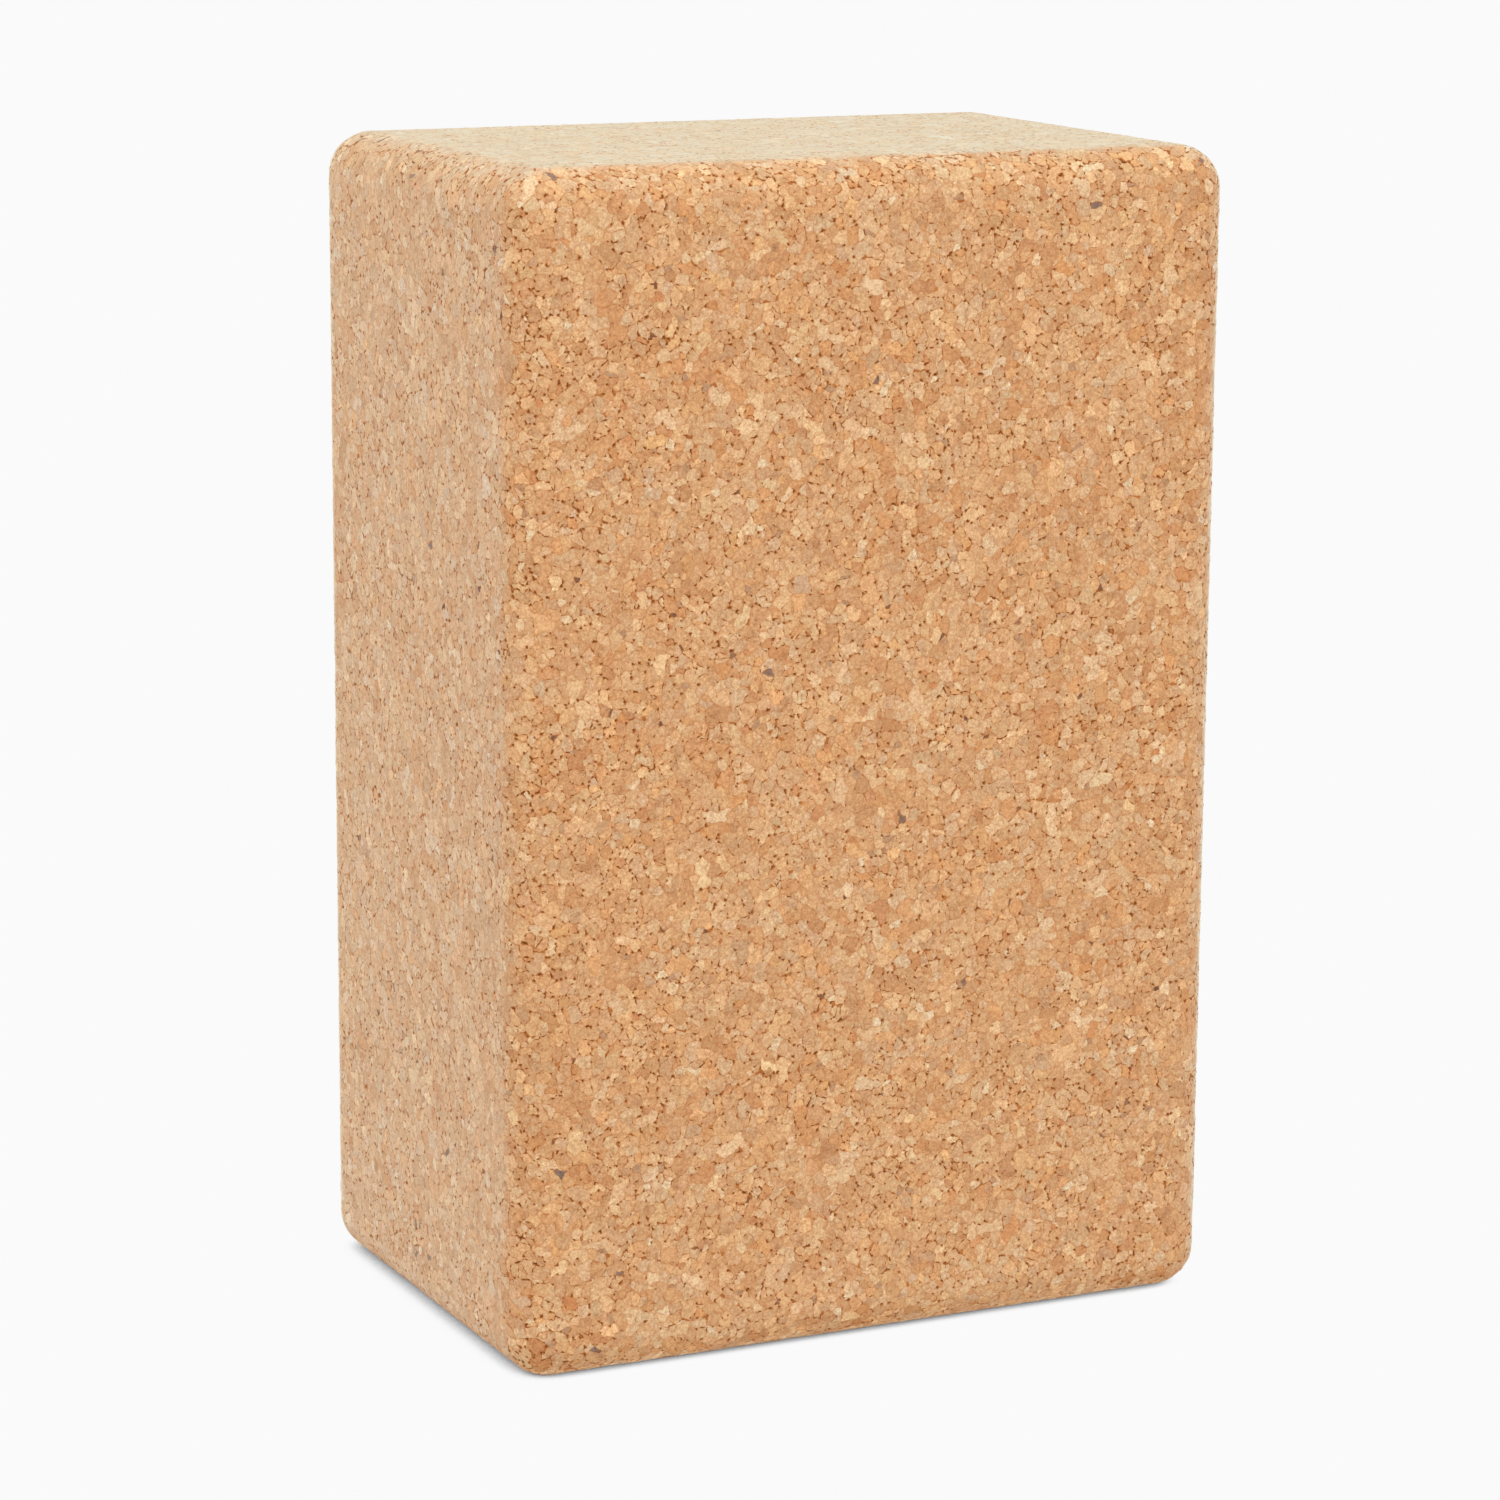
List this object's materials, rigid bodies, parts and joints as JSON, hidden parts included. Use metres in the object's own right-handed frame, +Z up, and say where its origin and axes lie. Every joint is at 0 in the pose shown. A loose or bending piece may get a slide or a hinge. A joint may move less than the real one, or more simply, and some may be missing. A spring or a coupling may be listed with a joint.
{
  "type": "yoga block",
  "caption": "Rectangular block of pressed cork with evenly rounded edges and corners, a firm support for hands, feet or seat in yoga, pilates and stretching.",
  "frame": {"origin": "middle of the small end that the block stands on in the picture", "axes": "+Z up along the longest side, +X across the broad faces, +Y through the thickness; the broad face in the picture looks towards -Y"},
  "size_m": [0.1494, 0.1016, 0.2286],
  "materials": {
    "cork": "bare pressed cork granules, sanded, matte"
  },
  "bodies": {
    "root": {"cork_block": "cork"}
  },
  "joints": []
}
